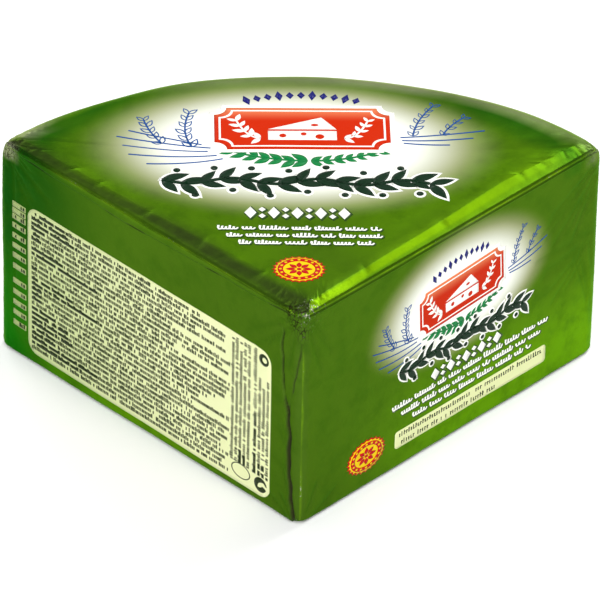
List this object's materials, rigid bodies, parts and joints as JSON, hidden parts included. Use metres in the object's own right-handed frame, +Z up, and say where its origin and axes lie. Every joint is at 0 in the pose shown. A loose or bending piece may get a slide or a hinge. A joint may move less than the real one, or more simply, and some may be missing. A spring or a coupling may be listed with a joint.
{
  "type": "foil-wrapped cheese wedge",
  "caption": "Shut foil pack of a soft blue cheese wedge: a quarter round with flat cut sides, a curved back, soft bevels over the top and a flat base.",
  "frame": {"origin": "on the plane of the base, at the middle of the footprint's box", "axes": "+Z up; +Y from the point of the wedge towards the curved rind; +X to the right, seen from the point"},
  "size_m": [0.2006, 0.1434, 0.0876],
  "materials": {
    "printed_foil": "satin printed foil"
  },
  "bodies": {
    "root": {"wrapped_wedge": "printed_foil"}
  },
  "joints": []
}
